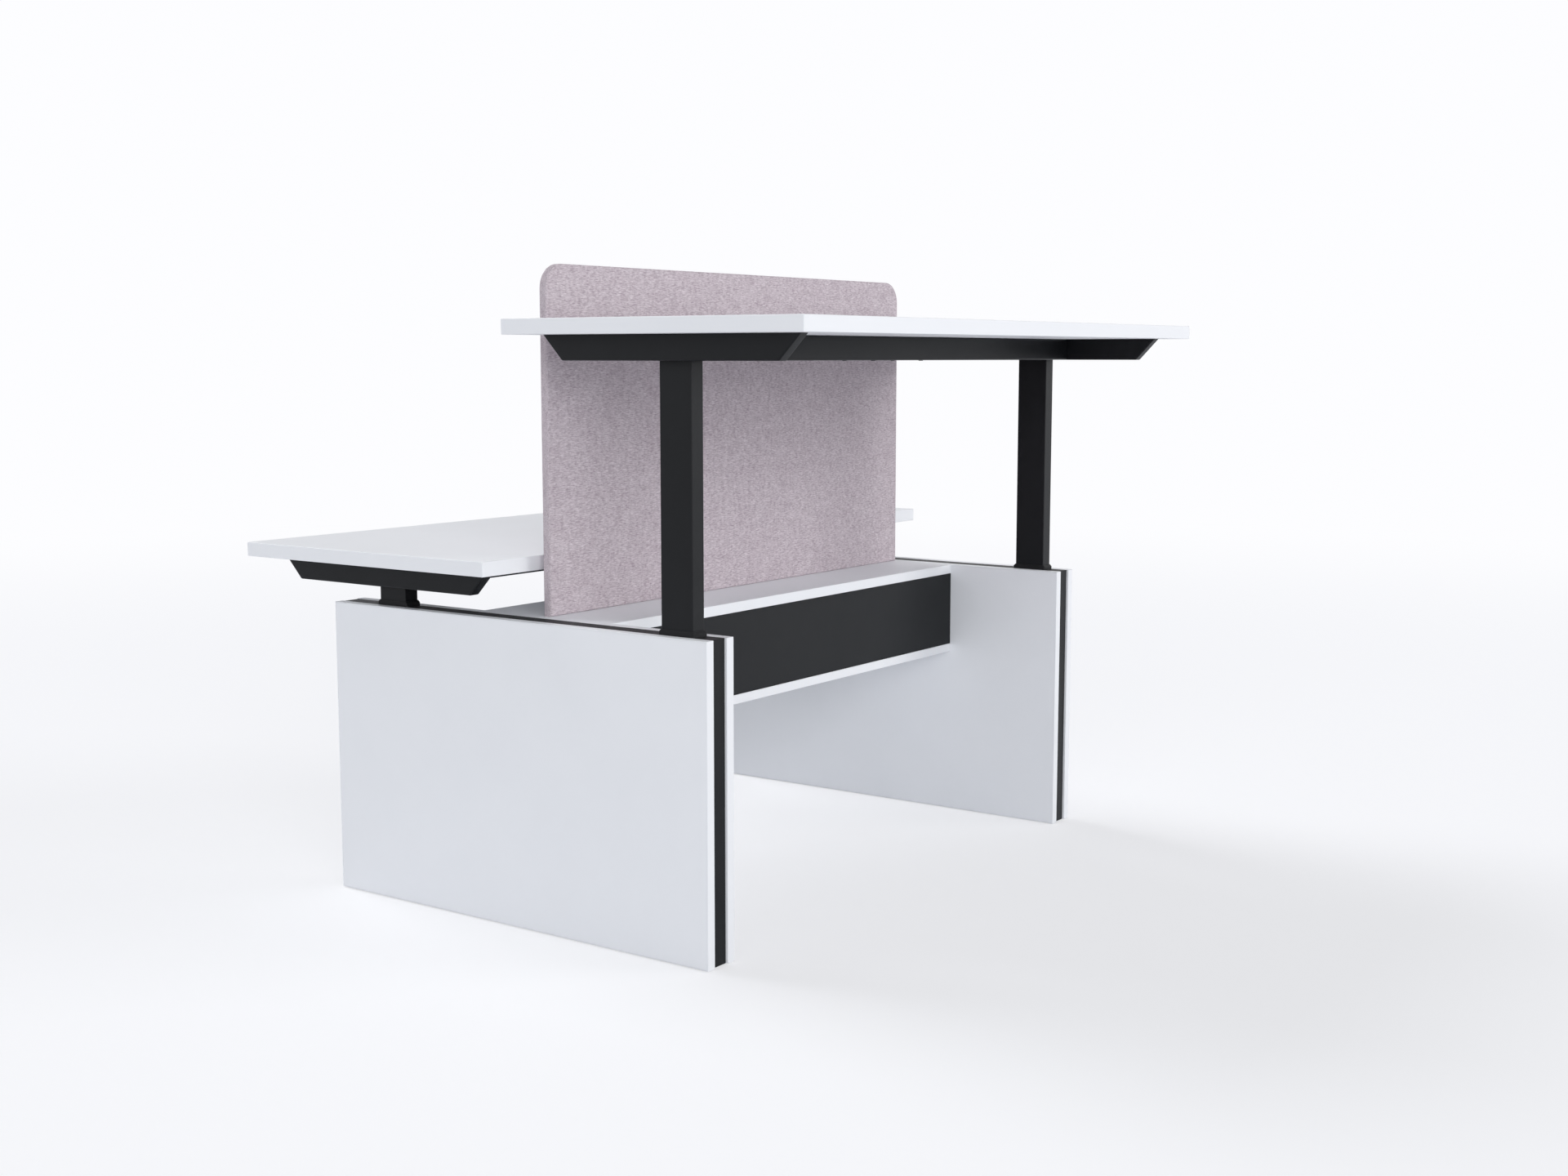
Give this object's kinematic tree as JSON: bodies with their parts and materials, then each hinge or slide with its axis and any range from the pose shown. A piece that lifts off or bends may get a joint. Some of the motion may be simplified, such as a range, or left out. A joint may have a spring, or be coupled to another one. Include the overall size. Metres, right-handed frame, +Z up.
{
  "type": "benching desk for two",
  "caption": "Back-to-back sit-stand desk with sandwich end panels, a cable channel, a felt screen and desktops that each rise and lower on motor-driven columns.",
  "frame": {"origin": "on the floor, below the middle of the screen and of the whole desk", "axes": "+X along the desktops, +Y from the raised desk towards the lowered one, +Z up"},
  "size_m": [1.6, 1.46, 1.3251],
  "materials": {
    "white_board": "satin white laminate",
    "dark_board": "matt charcoal laminate",
    "black_steel": "fine-textured black powder coat",
    "black_plastic": "matt black",
    "grey_plastic": "matt dark grey",
    "bare_steel": "drawn steel",
    "cast_alloy": "grey cast alloy",
    "felt": "mauve-grey melange felt"
  },
  "bodies": {
    "base": {"left_outer_panel": "white_board", "left_inner_panel": "white_board", "left_front_upright": "black_steel", "left_rear_upright": "black_steel", "left_top_rail": "black_steel", "left_bottom_rail": "black_steel", "right_outer_panel": "white_board", "right_inner_panel": "white_board", "right_front_upright": "black_steel", "right_rear_upright": "black_steel", "right_top_rail": "black_steel", "right_bottom_rail": "black_steel", "front_left_levelling_foot": "black_plastic", "front_left_guide_mast": "bare_steel", "front_left_nut_block": "grey_plastic", "front_left_collar": "black_plastic", "front_right_levelling_foot": "black_plastic", "front_right_guide_mast": "bare_steel", "front_right_nut_block": "grey_plastic", "front_right_collar": "black_plastic", "rear_left_levelling_foot": "black_plastic", "rear_left_guide_mast": "bare_steel", "rear_left_nut_block": "grey_plastic", "rear_left_collar": "black_plastic", "rear_right_levelling_foot": "black_plastic", "rear_right_guide_mast": "bare_steel", "rear_right_nut_block": "grey_plastic", "rear_right_collar": "black_plastic", "channel_top": "white_board", "channel_base": "white_board", "channel_front_panel": "dark_board", "channel_rear_panel": "dark_board", "screen_support": "black_steel", "screen": "felt"},
    "front_desk": {"front_desktop": "white_board", "front_beam": "black_steel", "front_control_box": "black_plastic", "front_handset": "black_plastic", "front_left_arm": "black_steel", "front_left_lift_tube": "black_steel", "front_left_gearmotor": "cast_alloy", "front_right_arm": "black_steel", "front_right_lift_tube": "black_steel", "front_right_gearmotor": "cast_alloy"},
    "rear_desk": {"rear_desktop": "white_board", "rear_beam": "black_steel", "rear_control_box": "black_plastic", "rear_handset": "black_plastic", "rear_left_arm": "black_steel", "rear_left_lift_tube": "black_steel", "rear_left_gearmotor": "cast_alloy", "rear_right_arm": "black_steel", "rear_right_lift_tube": "black_steel", "rear_right_gearmotor": "cast_alloy"},
    "front_left_screw": {"front_left_lead_screw": "bare_steel"},
    "front_right_screw": {"front_right_lead_screw": "bare_steel"},
    "rear_left_screw": {"rear_left_lead_screw": "bare_steel"},
    "rear_right_screw": {"rear_right_lead_screw": "bare_steel"},
    "front_rocker": {"front_handset_rocker": "grey_plastic"},
    "rear_rocker": {"rear_handset_rocker": "grey_plastic"}
  },
  "joints": [
    {"name": "front_desk_lift", "type": "slide", "parent": "base", "child": "front_desk", "axis": [0, 0, 1], "range_m": [-0.494, 0.006]},
    {"name": "rear_desk_lift", "type": "slide", "parent": "base", "child": "rear_desk", "axis": [0, 0, 1], "range_m": [-0.026, 0.474]},
    {"name": "front_left_screw_turn", "type": "hinge", "parent": "front_desk", "child": "front_left_screw", "pos_m": [-0.692, -0.38, 1.0141], "axis": [0, 0, 1], "range_deg": [-8897, 113]},
    {"name": "front_right_screw_turn", "type": "hinge", "parent": "front_desk", "child": "front_right_screw", "pos_m": [0.692, -0.38, 1.0141], "axis": [0, 0, 1], "range_deg": [-8897, 113]},
    {"name": "rear_left_screw_turn", "type": "hinge", "parent": "rear_desk", "child": "rear_left_screw", "pos_m": [-0.692, 0.38, 0.5461], "axis": [0, 0, 1], "range_deg": [-473, 8537]},
    {"name": "rear_right_screw_turn", "type": "hinge", "parent": "rear_desk", "child": "rear_right_screw", "pos_m": [0.692, 0.38, 0.5461], "axis": [0, 0, 1], "range_deg": [-473, 8537]},
    {"name": "front_rocker_tilt", "type": "hinge", "parent": "front_desk", "child": "front_rocker", "pos_m": [-0.672, -0.588, 1.174], "axis": [1, 0, 0], "range_deg": [-8, 8], "stiffness_Nm_per_rad": 0.26},
    {"name": "rear_rocker_tilt", "type": "hinge", "parent": "rear_desk", "child": "rear_rocker", "pos_m": [0.672, 0.588, 0.706], "axis": [1, 0, 0], "range_deg": [-8, 8], "stiffness_Nm_per_rad": 0.26}
  ],
  "couplings": [
    {"joint": "front_left_screw_turn", "follows": "front_desk_lift", "rad_per_m": 314.16},
    {"joint": "front_right_screw_turn", "follows": "front_desk_lift", "rad_per_m": 314.16},
    {"joint": "rear_left_screw_turn", "follows": "rear_desk_lift", "rad_per_m": 314.16},
    {"joint": "rear_right_screw_turn", "follows": "rear_desk_lift", "rad_per_m": 314.16}
  ]
}
